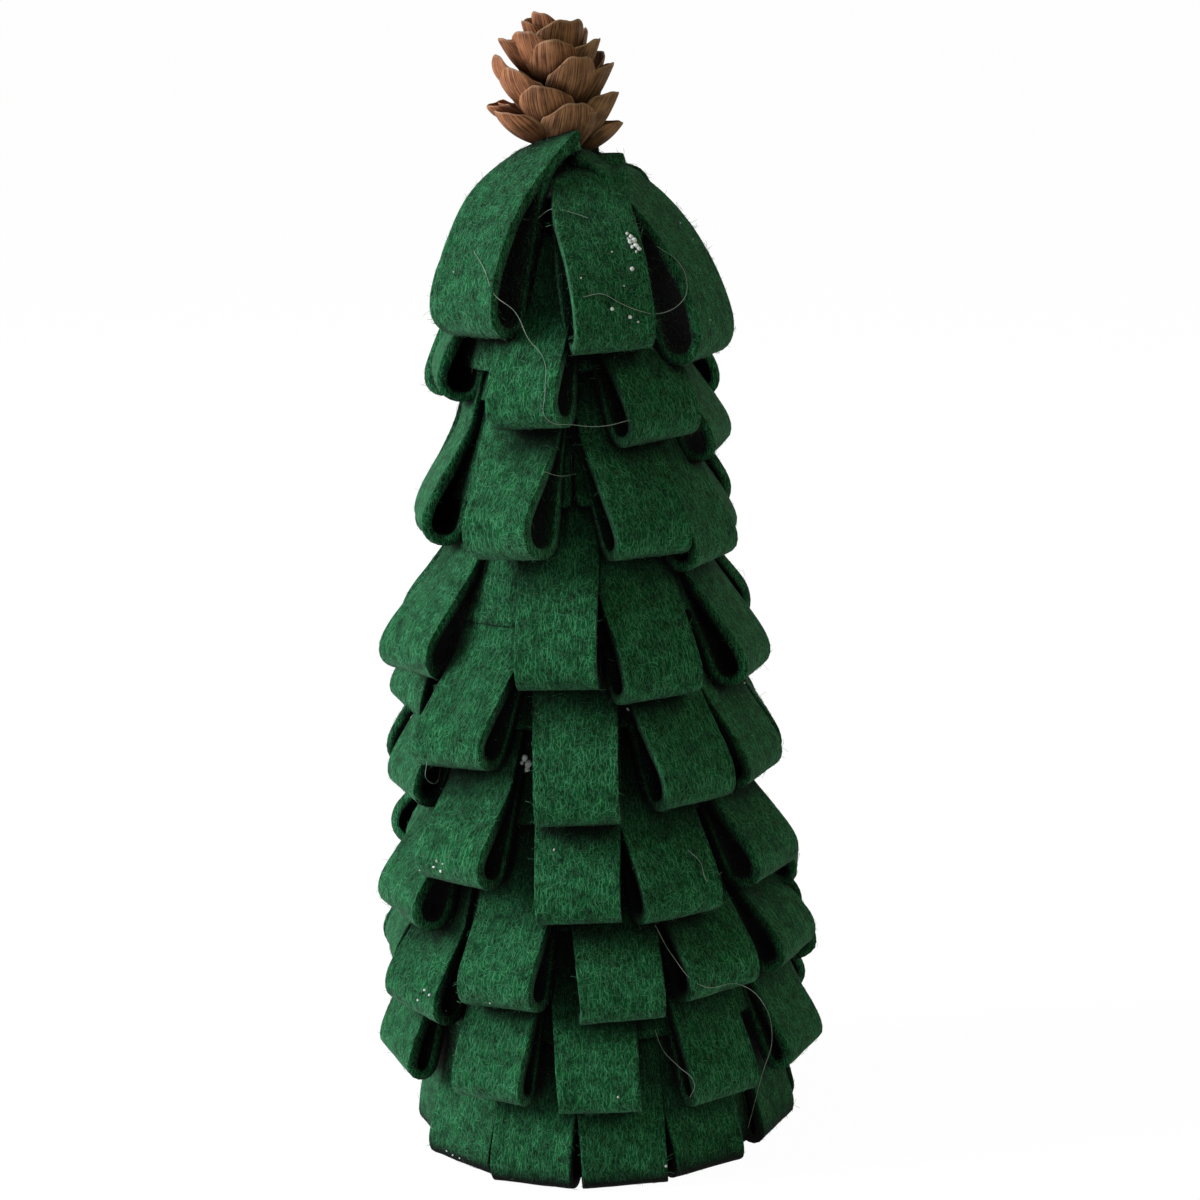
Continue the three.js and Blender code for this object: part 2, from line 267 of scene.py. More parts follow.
def fibre_layer_group():
    """One loose layer of short bent fibres, one to each cell of the layer."""
    group = bpy.data.node_groups.new("layer of fibres", "ShaderNodeTree")
    group.interface.new_socket("Place", in_out="INPUT", socket_type="NodeSocketVector")
    group.interface.new_socket("Fibres", in_out="OUTPUT", socket_type="NodeSocketFloat")
    place = group.nodes.new("NodeGroupInput").outputs["Place"]
    cell = joined(
        group, "ShaderNodeTexVoronoi", {"Vector": place, "Scale": 1 / fibre_spacing},
        voronoi_dimensions="2D",
    )
    chances = joined(group, "ShaderNodeSeparateXYZ", {0: cell.outputs["Color"]}).outputs
    from_middle = worked_out(
        group, "SUBTRACT", place, cell.outputs["Position"], node_type="ShaderNodeVectorMath"
    )
    strayed = ranged(group, chances["X"], 0, 1, -1, 1)
    strayed_square = worked_out(group, "MULTIPLY", strayed, strayed)
    strayed_cube = worked_out(group, "MULTIPLY", strayed, strayed_square)
    direction = worked_out(group, "MULTIPLY_ADD", strayed_cube, math.pi / 2, math.pi / 2)
    turned = joined(
        group, "ShaderNodeVectorRotate", {"Vector": from_middle, "Angle": direction},
        rotation_type="Z_AXIS",
    )
    fibre = joined(group, "ShaderNodeSeparateXYZ", {0: turned.outputs[0]}).outputs
    squared = worked_out(group, "MULTIPLY", fibre["X"], fibre["X"])
    curl = ranged(group, chances["Y"], 0, 1, -fibre_curl, fibre_curl)
    bent = worked_out(group, "MULTIPLY_ADD", squared, curl, fibre["Y"])
    across = worked_out(group, "ABSOLUTE", bent)
    line = ranged(group, across, fibre_width, 0, 0, 1)
    along = worked_out(group, "ABSOLUTE", fibre["X"])
    reach = ranged(group, chances["Z"], 0, 1, fibre_length / 5, fibre_length / 2)
    left_over = worked_out(group, "SUBTRACT", reach, along)
    faded = ranged(group, left_over, 0, fibre_end, 0, 1)
    whole = worked_out(group, "MULTIPLY", line, faded)
    shown = worked_out(group, "MULTIPLY", whole, chances["Y"])
    joined(group, "NodeGroupOutput", {"Fibres": shown})
    return group


fibre_layer = fibre_layer_group()


def mat_group():
    """The whole mat: how much pale fibre lies on it, how closed it is, and its height."""
    group = bpy.data.node_groups.new("felt mat", "ShaderNodeTree")
    for name in ("Cut", "Solid"):
        group.interface.new_socket(name, in_out="INPUT", socket_type="NodeSocketVector")
    for name in ("Fibres", "Body", "Height"):
        group.interface.new_socket(name, in_out="OUTPUT", socket_type="NodeSocketFloat")
    given = group.nodes.new("NodeGroupInput").outputs
    fibres = 0
    # Each layer is shifted, so that no two lie alike.
    for layer in range(fibre_layers):
        shifted = worked_out(
            group, "ADD", given["Cut"], (layer / 3, layer / 7, 0),
            node_type="ShaderNodeVectorMath",
        )
        laid = joined(group, "ShaderNodeGroup", {"Place": shifted}, node_tree=fibre_layer)
        fibres = worked_out(group, "MAXIMUM", fibres, laid.outputs["Fibres"])
    patches = noise(group, given["Solid"], patch_size, 3)
    pores = noise(group, given["Solid"], pore_size, 3, pore_roughness)
    density = ranged(group, patches, *patch_range, fewest_fibres, 1)
    joined(group, "NodeGroupOutput", {
        "Fibres": worked_out(group, "MULTIPLY", fibres, density),
        "Body": worked_out(group, "MULTIPLY_ADD", patches, patch_share, pores),
        "Height": worked_out(group, "ADD", fibres, pores),
    })
    return group


felt_mat = mat_group()


def felt_material(name, on_face):
    """Felt seen on its face, by its cut coordinates, or on a cut edge, by its place."""
    material, tree, finish = new_material(name)
    solid = joined(tree, "ShaderNodeTexCoord").outputs["Object"]
    if on_face:
        laid = joined(tree, "ShaderNodeUVMap", uv_map="cut").outputs["UV"]
    else:
        spot = joined(tree, "ShaderNodeSeparateXYZ", {0: solid}).outputs
        level = joined(tree, "ShaderNodeCombineXYZ", {"X": spot["X"], "Y": spot["Y"]})
        from_axis = joined(
            tree, "ShaderNodeVectorMath", {0: level.outputs[0]}, operation="LENGTH"
        )
        laid = joined(
            tree, "ShaderNodeCombineXYZ", {"X": from_axis.outputs["Value"], "Y": spot["Z"]}
        ).outputs[0]
    mat = joined(tree, "ShaderNodeGroup", {"Cut": laid, "Solid": solid}, node_tree=felt_mat)
    body = ramp(tree, mat.outputs["Body"], (deep_body, felt_deep), (full_body, felt_green))
    colour = mixed(tree, body, felt_pale, mat.outputs["Fibres"])
    # Painted shade: the colour and the sheen tint are darkened deep in hollows.
    painted_shade = painted_hollow_shade(tree, painted_shade_samples, *painted_shade_range, darkest_painted_shade)
    bump = joined(tree, "ShaderNodeBump", {
        "Height": mat.outputs["Height"],
        "Strength": felt_bump_share,
        "Distance": felt_bump_height,
    })
    give(tree, finish, {
        "Base Color": mixed(tree, colour, painted_shade, blend="MULTIPLY"),
        "Roughness": felt_roughness,
        "Specular IOR Level": felt_gloss,
        "Sheen Tint": mixed(tree, felt_sheen, painted_shade, blend="MULTIPLY"),
        "Sheen Weight": felt_sheen_share,
        "Sheen Roughness": felt_sheen_roughness,
        "Normal": bump.outputs["Normal"],
    })
    return material


green_felt = felt_material("green felt", on_face=True)
felt_edge = felt_material("cut edge of felt", on_face=False)


# Loop bands
# Each band is felt folded lengthwise, slit through the fold into loops, and glued round the
# foam by its two top edges. The loops hang open at their sides, no two quite alike.

loop_width = 0.0215
foam_tip_radius = 0.014
glue_gap = 0.0003
slit_start = 0.018
heading_sink = 0.0004
pair_thickness = 2 * felt_thickness
column_shares = [0, 0.025, 0.22, 0.5, 0.78, 0.975, 1]
rows_along = 34

# Each loop that shows has its direction, how far its fold hangs below the band's, as a share
# of the loop's length, how far its face is turned to the right, how far it is tipped to one
# side, and how full and how wide it is beside the usual loop. A loop that is pressed in
# towards the foam has that distance last, and one that stands out has it below zero.
front_loops = [
    [(-79, 0, 8, 0, 0.65, 1), (-51, 0, 4, 0, 0.9, 1.1, -0.0004),
     (-23, 0, 0, 0, 1, 1.05, -0.0024), (3.5, 0, 0, 0, 1, 1.02, -0.0024),
     (29, 0, 0, 0, 1, 0.97, -0.0008), (66, 0, -2, 0, 0.8, 1, 0.0008),
     (93, -0.1, 0, 0, 0.8, 1)],
    [(-77, -0.03, 12, 4, 1, 1), (-32, -0.04, -2, 0, 1.1, 0.97), (-3, 0, 0, 1, 1, 0.97),
     (32, 0.02, 0, 0, 1, 0.93), (66, 0, -4, 0, 1, 1), (95, 0, 0, 0, 0.8, 1)],
    [(-87, 0.02, 6, 0, 0.8, 1), (-62, 0.14, 12, 3, 0.95, 1), (-28, 0, -2, 0, 1, 0.98),
     (5, 0.06, 0, 0, 1, 1), (33, 0, 0, 0, 1, 1), (66, 0, -3, 0, 0.95, 1),
     (96, 0.12, -4, 0, 0.9, 1)],
    [(-68, 0.16, 6, 2, 1, 1), (-43, -0.12, 2, 0, 1, 1), (-5, 0.04, 0, 0, 1, 1),
     (23, 0.06, 0, 0, 1, 1), (58, 0, 0, 0, 1, 1), (88, 0.16, -3, 0, 0.75, 1),
     (116, 0.12, 0, 0, 0.7, 1, 0.004), (-97, 0.02, 16, 0, 0.7, 1, 0.004)],
    [(-74, 0.06, 5, 0, 0.85, 1), (-41, -0.2, 4, -4, 1.05, 1), (-4, 0.06, 0, 0, 1, 1),
     (32, 0.02, 0, 0, 1, 1), (64, 0.02, 0, 0, 0.85, 1), (95, 0, 0, 0, 0.8, 1)],
    [(-96, 0.30, 32, 0, 0.75, 1), (-69, 0, 15, -5, 1.12, 1, 0.001),
     (-8.5, -0.03, 0, 0, 1, 0.95), (24.5, 0.06, 0, 0, 1, 1), (70, 0.1, 0, 0, 0.95, 1),
     (100, 0.12, 0, 0, 0.8, 1)],
    [(-83, -0.02, 0, 0, 1, 1, 0.0025), (-112, 0, 0, 0, 0.8, 1),
     (-22.5, -0.02, -11, 0, 1.3, 0.9), (25, 0.02, 0, 2, 1, 0.96), (58, 0.13, 0, 0, 0.85, 1),
     (93, 0.13, -14, 0, 0.7, 1)],
    [(-84, -0.12, 0, 0, 1.05, 0.95, 0.0055), (-118, -0.1, 0, 0, 0.8, 1),
     (-14, -0.03, -12, 0, 1.1, 0.9), (38, 0.09, -2, 0, 1, 1), (84, 0.26, -10, 0, 0.85, 1),
     (118, 0, 0, 0, 1, 1)],
]

# The loops at the back of each band, spread evenly and then strayed by chance in direction,
# drop, turn, tip, fullness and width.
back_counts = [6, 6, 7, 4, 5, 5, 4, 2]
back_stray = 2
back_drop = 0.08
back_turn = 12
back_tip = 3
back_fullness = (0.9, 1.15)
back_width = (0.94, 1.04)

# Each band's fold, from the bottom band up: how deep it is, how high its underside lies, and
# how far it reaches out from the tree's axis.
fold_depths = [0.009, 0.009, 0.0125, 0.0125, 0.0125, 0.0125, 0.0125, 0.0125]
fold_heights = [0.0002, 0.0220, 0.0491, 0.0740, 0.0999, 0.1298, 0.1634, 0.1953]
fold_reaches = [0.0526, 0.0590, 0.0590, 0.0570, 0.0536, 0.0491, 0.0441, 0.0403]

turn_lift_share = 0.3
fold_squareness = 0.8
fold_steps = 13
width_stray = 0.02
first_lean = math.radians(20)
lean_steps = 4
heading_columns = 60
heading_rows = 6
chance = np.random.default_rng(12)

foam_low, foam_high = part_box("foam_cone")


def foam_radius(height):
    share = (height - foam_low.z) / (foam_high.z - foam_low.z)
    return foam_high.x + (foam_tip_radius - foam_high.x) * share


def fold_line(opening, fold_start, depth):
    """The middle of a folded strip as points down and out from its glued edge."""
    half = felt_thickness / 2
    middle = depth / 2
    round_radius = middle - half
    line = [(0, half), (fold_start, half)]
    for angle in np.linspace(-math.pi / 2, math.pi / 2, fold_steps):
        down = abs(math.cos(angle)) ** fold_squareness
        out = math.copysign(abs(math.sin(angle)) ** fold_squareness, angle)
        line.append((fold_start + round_radius * down, middle + round_radius * out))
    top = Vector((opening, 3 * half))
    low = Vector((fold_start, depth - half))
    reach = low - top
    face = interpolate_bezier(
        low, low - Vector((reach.x * 0.14, -half / 4)), top + reach * 0.55, top, 12
    )
    line.extend((point.x, point.y) for point in face)
    line.append((0, 3 * half))
    return np.array(line)


def strip(width, line, place, columns=column_shares, rows=rows_along):
    """A cut strip of felt, laid across and along a line by place(across, down, out)."""
    bpy.ops.object.select_all(action="DESELECT")
    bpy.ops.mesh.primitive_grid_add(
        x_subdivisions=len(columns) - 1, y_subdivisions=rows, size=1
    )
    piece = bpy.context.object
    lengths = np.linalg.norm(np.diff(line, axis=0), axis=1)
    along = np.concatenate([[0], np.cumsum(lengths)])
    cut = piece.data.uv_layers[0]
    cut.name = "cut"
    piece.data.materials.append(green_felt)
    piece.data.materials.append(felt_edge)
    shift = Vector(chance.uniform(0, 1, 2))
    flat = []
    for vertex in piece.data.vertices:
        across = (columns[vertex.index % len(columns)] - 0.5) * width
        length = vertex.index // len(columns) / rows * along[-1]
        down = np.interp(length, along, line[:, 0])
        out = np.interp(length, along, line[:, 1])
        flat.append(shift + Vector((across, length)))
        vertex.co = place(across, down, out)
    for loop in piece.data.loops:
        cut.uv[loop.index].vector = flat[loop.vertex_index]
    return piece


def pick(pieces):
    bpy.ops.object.select_all(action="DESELECT")
    for piece in pieces:
        piece.select_set(True)
    bpy.context.view_layer.objects.active = pieces[0]


def join(pieces, name):
    pick(pieces)
    bpy.ops.object.join()
    whole = bpy.context.object
    whole.name = name
    whole.data.name = name
    return whole


uneven = bpy.data.textures.new("felt unevenness", "CLOUDS")
uneven.noise_scale = 0.011
uneven_height = 0.0006
edge_crease = 0.7


def shape(piece, kind, **settings):
    """Applies one modifier with its settings to the active piece."""
    modifier = piece.modifiers.new("shape", kind)
    for name, value in settings.items():
        setattr(modifier, name, value)
    bpy.ops.object.modifier_apply(modifier="shape")


def give_thickness(piece):
    """Felt has soft cut edges and a slightly uneven face."""
    pick([piece])
    shape(
        piece, "SOLIDIFY", thickness=felt_thickness, offset=0, use_even_offset=True,
        material_offset_rim=1, edge_crease_inner=edge_crease, edge_crease_outer=edge_crease,
    )
    shape(piece, "SUBSURF", levels=1, render_levels=1)
    shape(piece, "DISPLACE", texture=uneven, texture_coords="LOCAL", strength=uneven_height)
    bpy.ops.object.shade_smooth()


def outward(direction):
    angle = math.radians(direction)
    return Vector((math.sin(angle), -math.cos(angle), 0))


def sideways(direction):
    angle = math.radians(direction)
    return Vector((math.cos(angle), math.sin(angle), 0))


def declare_felt(piece, node):
    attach(piece, "root")
    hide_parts(node)


def loop_band(number):
    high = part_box(f"loop_band_{number}")[1]
    fold_height = fold_heights[number - 1]
    fold_reach = fold_reaches[number - 1]
    usual_depth = fold_depths[number - 1]
    taper = (foam_high.x - foam_tip_radius) / (foam_high.z - foam_low.z)

    def hang(rise, depth, pressed=0):
        """Where a loop leaves the foam, its lean, and how far down its fold starts."""
        radius = depth / 2
        middle = Vector((
            fold_reach - pressed - usual_depth + radius - rise * taper,
            fold_height + radius + rise,
        ))
        lean = first_lean
        for _ in range(lean_steps):
            edge_height = high.z + rise - pair_thickness * math.sin(lean)
            edge = Vector((foam_radius(edge_height) + glue_gap, edge_height))
            run = middle - edge
            lean = math.atan2(run.x, -run.y) - math.asin(radius / run.length)
        return edge, lean, math.sqrt(run.length ** 2 - radius ** 2)

    edge, lean, fold_start = hang(0, usual_depth)
    usual_length = fold_start + usual_depth / 2
    if number < len(front_loops):
        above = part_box(f"loop_band_{number + 1}")[1].z
        opening = max(usual_length - (above - high.z), slit_start)
    else:
        opening = slit_start

    def from_edge(edge, lean, down, out):
        """How far from the axis and how high a point lies, down and out from a glued edge."""
        radius = edge.x + down * math.sin(lean) + out * math.cos(lean)
        height = edge.y - down * math.cos(lean) + out * math.sin(lean)
        return radius, height

    def loop(direction, drop_share, turn, tip, fullness, width_share, pressed=0):
        depth = usual_depth * fullness
        edge, lean, fold_start = hang(-drop_share * usual_length, depth, pressed)
        turn = -math.radians(turn)
        tip = math.radians(tip)
        width = loop_width * width_share * chance.uniform(1 - width_stray, 1 + width_stray)

        def place(across, down, out):
            free = min(max((down - opening / 2) / (fold_start - opening / 2), 0), 1)
            angle = turn * free
            lift = turn_lift_share * width / 2 * abs(math.sin(angle))
            turned = across * math.cos(angle) - (out - felt_thickness) * math.sin(angle)
            stands = across * math.sin(angle) + (out - felt_thickness) * math.cos(angle)
            out = felt_thickness + lift + stands
            across = turned + down * math.sin(tip) * free
            down = down + turned * math.sin(tip) * free
            radius, height = from_edge(edge, lean, down, out)
            wrapped = outward(direction + math.degrees(across / radius)) * radius
            hanging = outward(direction) * radius + sideways(direction) * across
            point = wrapped.lerp(hanging, free)
            point.z = height
            return point

        return strip(width, fold_line(opening, fold_start, depth), place)

    def heading(out, start, reach):
        """One ply of the uncut felt above the slits, wrapped round the foam."""
        def place(across, down, out):
            radius, height = from_edge(edge, lean, down, out)
            point = outward(180 + math.degrees(across / edge.x)) * radius
            point.z = height
            return point

        columns = [index / heading_columns for index in range(heading_columns + 1)]
        line = np.array([(start, out), (reach, out)])
        return strip(2 * math.pi * edge.x - glue_gap, line, place, columns, heading_rows)

    loops = sorted(front_loops[number - 1])
    last = loops[-1][0]
    count = back_counts[number - 1]
    step = (loops[0][0] + 360 - last) / (count + 1)
    lowest = 0 if number == 1 else back_drop
    for index in range(count):
        loops.append((
            last + step * (index + 1) + chance.uniform(-back_stray, back_stray),
            chance.uniform(-back_drop, lowest),
            chance.uniform(-back_turn, back_turn),
            chance.uniform(-back_tip, back_tip),
            chance.uniform(*back_fullness),
            chance.uniform(*back_width),
        ))
    pieces = [loop(*values) for values in loops]
    if number > 1:
        covered = high.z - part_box(f"loop_band_{number - 1}")[1].z
    else:
        covered = high.z - fold_height - felt_thickness
    start = 0 if number < len(front_loops) else high.z - foam_high.z
    pieces.append(heading(felt_thickness / 2 - heading_sink, start, covered / math.cos(lean)))
    pieces.append(heading(felt_thickness * 3 / 2 - 3 * heading_sink, 0, slit_start / 2))
    band = join(pieces, f"felt_band_{number}")
    give_thickness(band)
    for vertex in band.data.vertices:
        vertex.co.z = max(vertex.co.z, 0)
    declare_felt(
        band, f"loop_band_{number}"
    )
    return band


felt_bands = [loop_band(number) for number in range(1, len(front_loops) + 1)]


# Top loops
# Six longer strips are folded over the highest band. Both ends of each are glued down round
# the foam's tip, one over the other, and the neighbours' ends overlap there.

top_loop_width = 0.021
top_fold_radius = 0.0068
crater_radius = 0.0062
pinch_start = 0.026
pinch_arch = 0.0035
top_width_stray = 0.03
top_loop_rows = 48
rosette_shift = Vector((0.002, 0, 0))

# Each top loop has its direction, how far its fold hangs below the usual, as a share of the
# loop's drop, how far out it hangs beside the usual, and then for its ends, how far they are
# turned to the right, the share of the width left there, how far they slide to the right, as
# a share of the width, how high they lie, and how far their right side is tipped up.
top_loops = [
    (-45, -0.12, 0.94, 15, 0.85, 0.20, 0.0008, 14),
    (15.5, 0, 1, -10, 0.86, 0.24, -0.0040, 0),
    (63, 0.17, 1.01, -6, 0.6, -0.16, -0.0026, -8),
    (118, 0, 0.95, 6, 0.7, 0, -0.0040, 0),
    (180, 0.05, 1, 6, 0.9, 0, -0.0030, 0),
    (241, -0.04, 0.88, 12, 0.95, 0.28, -0.0068, 0),
]


def top_loop(
    number, direction, drop_share, reach_share,
    end_turn, end_width_share, slide_share, rise, tip,
):
    usual_low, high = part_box("top_loop_2")
    usual_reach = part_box("top_loop_3")[1].x
    half = felt_thickness / 2
    seat = foam_high.z + glue_gap + half
    fold = Vector((usual_reach * reach_share - top_fold_radius, usual_low.z + top_fold_radius))
    fold.y -= drop_share * (seat - fold.y)
    outer_start = Vector((crater_radius + half, high.z - half + rise))
    inner_start = outer_start - Vector((0, felt_thickness))
    corner = Vector((foam_tip_radius + 2 * felt_thickness, seat - 2 * felt_thickness))
    inner_end = fold - Vector((top_fold_radius - half, 0))
    outer_end = fold + Vector((top_fold_radius - half, 0))
    over = interpolate_bezier(
        inner_start, Vector((foam_tip_radius + half, inner_start.y)),
        corner + Vector((-half, 3 * felt_thickness)), corner, 10,
    )
    taut = interpolate_bezier(
        corner, corner.lerp(inner_end, 0.4), corner.lerp(inner_end, 0.7), inner_end, 8
    )
    fold_turn = []
    for angle in np.linspace(math.pi, 2 * math.pi, fold_steps):
        reach = top_fold_radius - half
        fold_turn.append(fold + Vector((math.cos(angle), math.sin(angle))) * reach)
    climb = outer_start - outer_end
    back = interpolate_bezier(
        outer_end, outer_end + Vector((0, climb.y * 0.40)),
        outer_start - Vector((climb.x * 0.32, climb.y * 0.12)), outer_start, 18,
    )
    points = [*over, *taut[1:], *fold_turn, *back[1:]]
    line = np.array([(point.x, point.y) for point in points])
    width = top_loop_width * chance.uniform(1 - top_width_stray, 1 + top_width_stray)

    def place(across, radius, height):
        ends = 1 - min(max((radius - crater_radius) / (pinch_start - crater_radius), 0), 1)
        ends = ends ** 2 * (3 - 2 * ends)
        narrow = 1 + (end_width_share - 1) * ends
        arch = (1 - end_width_share) * pinch_arch * ends * (2 * across / width) ** 2
        point = outward(direction) * radius
        point += sideways(direction) * slide_share * width * ends
        point += sideways(direction + end_turn * ends) * across * narrow
        point.z = height - arch + math.tan(math.radians(tip)) * across * ends
        return point + rosette_shift

    piece = strip(width, line, place, rows=top_loop_rows)
    piece.name = f"felt_top_loop_{number}"
    piece.data.name = piece.name
    give_thickness(piece)
    declare_felt(piece, f"top_loop_{number}")
    return piece


felt_top_loops = [
    top_loop(number, *values) for number, values in enumerate(top_loops, start=1)
]


# Base disc
# A disc of the same felt is glued under the foam, for the tree to stand on. It covers the
# pale underside of the foam.

disc_radius = 0.044
disc_thickness = 0.0026
disc_sides = 64

bpy.ops.object.select_all(action="DESELECT")
bpy.ops.mesh.primitive_circle_add(
    vertices=disc_sides, radius=disc_radius, fill_type="TRIFAN",
    location=(0, 0, disc_thickness / 2),
)
felt_base = bpy.context.object
bpy.ops.object.transform_apply(location=True)
felt_base.name = "felt_base"
felt_base.data.name = "felt_base"
felt_base.data.materials.append(green_felt)
felt_base.data.materials.append(felt_edge)
cut = felt_base.data.uv_layers.active
cut.name = "cut"
for corner in felt_base.data.loops:
    cut.uv[corner.index].vector = felt_base.data.vertices[corner.vertex_index].co.xy
shape(felt_base, "SOLIDIFY", thickness=disc_thickness, offset=0, material_offset_rim=1)
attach(felt_base, "root")
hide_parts("base_disc")


# Loose fibres
# Fine pale fibres have worked out of the felt. They lie on its faces in every direction and
# stand off its cut edges.

loose_radius = 0.00004
loose_shortest = 0.0010
loose_longest = 0.0036
loose_lift = 0.00028
loose_bend = 0.0009
loose_rooted = 0.0001
band_fibres = 6500
top_loop_fibres = 2000
facing_least = 0.12
loose_dark = (0.020, 0.130, 0.050, 1)
loose_pale = (0.140, 0.330, 0.180, 1)
loose_roughness = 0.6
loose_gloss = 0.2
loose_painted_shade_samples = 4
loose_painted_shade_range = (0.25, 0.60)
darkest_loose_painted_shade = 0.02


def mottled(tree, grain, detail, low, high):
    """A colour that changes from place to place."""
    place = joined(tree, "ShaderNodeTexCoord").outputs["Object"]
    return ramp(tree, noise(tree, place, grain, detail), low, high)


loose_fibre, loose_tree, loose_finish = new_material("loose fibre")
loose_colour = mottled(loose_tree, loose_shortest, 1, (0.35, loose_dark), (0.70, loose_pale))
# Painted shade: the fibres' colour is darkened deep in hollows.
loose_painted_shade = painted_hollow_shade(
    loose_tree, loose_painted_shade_samples, *loose_painted_shade_range, darkest_loose_painted_shade
)
give(loose_tree, loose_finish, {
    "Base Color": mixed(loose_tree, loose_colour, loose_painted_shade, blend="MULTIPLY"),
    "Roughness": loose_roughness,
    "Specular IOR Level": loose_gloss,
})


def loose_fibres(felt, count):
    """One thin three-sided fibre, repeated and laid out over a piece of felt."""
    mesh = felt.data
    mesh.calc_loop_triangles()
    spots = np.empty(len(mesh.vertices) * 3)
    mesh.vertices.foreach_get("co", spots)
    spots = spots.reshape(-1, 3)
    corners = np.empty(len(mesh.loop_triangles) * 3, int)
    mesh.loop_triangles.foreach_get("vertices", corners)
    corners = spots[corners.reshape(-1, 3)]
    normals = np.cross(corners[:, 1] - corners[:, 0], corners[:, 2] - corners[:, 0])
    areas = np.linalg.norm(normals, axis=1)
    normals = normals / np.maximum(areas, areas.max() * 1e-6)[:, None]
    outwards = corners.mean(axis=1) * (1, 1, 0)
    outwards /= np.linalg.norm(outwards, axis=1)[:, None]
    facing = np.maximum((normals * outwards).sum(axis=1), 0) + facing_least
    weights = areas * facing
    picked = chance.choice(len(weights), count, p=weights / weights.sum())
    shares = chance.dirichlet((1, 1, 1), count)
    roots = (corners[picked] * shares[:, :, None]).sum(axis=1)
    normal = normals[picked]
    along = np.cross(normal, chance.normal(size=(count, 3)))
    along /= np.linalg.norm(along, axis=1)[:, None]
    side = np.cross(normal, along)
    length = loose_shortest + (loose_longest - loose_shortest) * chance.beta(1.3, 2.8, count)
    lift = loose_lift * chance.uniform(0.1, 1.2, count)
    bend = loose_bend * chance.uniform(-1, 1, count)

    bpy.ops.object.select_all(action="DESELECT")
    bpy.ops.mesh.primitive_cylinder_add(vertices=3, radius=1, depth=1)
    fibres = bpy.context.object
    bpy.ops.object.mode_set(mode="EDIT")
    bpy.ops.mesh.select_all(action="SELECT")
    bpy.ops.mesh.bisect(plane_co=(0, 0, 0), plane_no=(0, 0, 1))
    bpy.ops.object.mode_set(mode="OBJECT")
    shape(fibres, "ARRAY", count=count, use_relative_offset=False)
    bars = np.empty(len(fibres.data.vertices) * 3)
    fibres.data.vertices.foreach_get("co", bars)
    bars = bars.reshape(count, -1, 3)
    run = bars[:, :, 2:] + 0.5
    places = (
        roots[:, None] - normal[:, None] * loose_rooted
        + along[:, None] * length[:, None, None] * run
        + normal[:, None] * lift[:, None, None] * (4 * run * (1 - run) + 0.6 * run)
        + side[:, None] * bend[:, None, None] * run ** 2
        + normal[:, None] * bars[:, :, :1] * loose_radius
        + side[:, None] * bars[:, :, 1:2] * loose_radius
    )
    places[:, :, 2] = np.maximum(places[:, :, 2], loose_radius)
    fibres.data.vertices.foreach_set("co", places.ravel())
    fibres.data.update()
    bpy.ops.object.shade_smooth()
    fibres.name = felt.name.replace("felt", "fibres")
    fibres.data.name = fibres.name
    fibres.data.materials.append(loose_fibre)
    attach(fibres, "root")


for felt in felt_bands:
    loose_fibres(felt, band_fibres)
for felt in felt_top_loops:
    loose_fibres(felt, top_loop_fibres)


# Crumbs and hairs
# White crumbs of the foam cling to the felt, and a few long pale hairs have settled across
# the loops. Each is placed where it is seen in the picture, on the felt that carries it.

largest_crumb = 0.0007
crumb_sink_share = 0.2
crumb_dent = 0.22
crumb_shape = (0.6, 1.1)
crumb_colour = (0.78, 0.80, 0.76, 1)
crumb_roughness = 0.8
hair_radius = 0.00007
hair_lift = 0.0004
hair_colour = (0.42, 0.46, 0.38, 1)
hair_root_colour = (0.16, 0.26, 0.18, 1)
hair_roughness = 0.5

# Each crumb's place in the picture and its size as a share of the largest.
crumbs = [
    (627, 234, 0.8), (631, 237, 1.1), (634, 241, 1.2), (630, 242, 1), (636, 246, 1.2),
    (632, 247, 0.8), (639, 249, 0.9), (636, 252, 0.6), (628, 239, 0.6), (612, 252, 0.45),
    (632, 269, 0.75), (581, 278, 0.4), (624, 286, 0.35), (612, 309, 0.75), (630, 317, 0.75),
    (638, 322, 0.5), (454, 272, 0.4), (680, 223, 0.45), (693, 239, 0.3), (710, 320, 0.35),
    (434, 867, 0.6), (420, 870, 0.4), (441, 871, 0.7), (437, 861, 0.6), (443, 864, 0.5),
    (425, 990, 0.6), (430, 995, 0.7), (418, 1000, 0.5), (446, 1011, 0.35), (525, 758, 1.5),
    (529, 764, 1.8), (527, 769, 1.3), (522, 763, 1.1), (628, 709, 0.6), (554, 850, 0.5),
    (618, 1097, 0.5), (666, 1166, 0.5), (447, 1151, 0.4), (453, 1155, 0.4), (460, 1158, 0.4),
    (744, 683, 0.5), (490, 1003, 0.4),
]

# Each hair's line across the picture.
hairs = [
    [(474, 251), (485, 271), (494, 294), (515, 312), (528, 338), (544, 360), (545, 392),
     (546, 418), (575, 425), (604, 426), (630, 420)],
    [(583, 297), (602, 294), (620, 303), (640, 311), (662, 313), (683, 300), (687, 284),
     (680, 264), (657, 246)],
    [(655, 925), (672, 955), (700, 985), (738, 984), (763, 1003), (772, 1038), (762, 1075),
     (748, 1128)],
    [(655, 1030), (663, 1050), (678, 1066), (694, 1082), (690, 1098)],
    [(545, 472), (560, 476), (576, 474)],
    [(427, 762), (426, 778), (436, 783), (441, 768)],
    [(538, 218), (552, 209), (570, 212), (588, 218)],
    [(688, 850), (700, 862), (706, 880), (722, 872)],
]


def sight(x, y):
    """The way from the camera to one spot of the picture."""
    middle = picture_size / 2
    ray = camera.rotation_quaternion @ Vector((x - middle, middle - y, -focal_pixels))
    return ray.normalized()


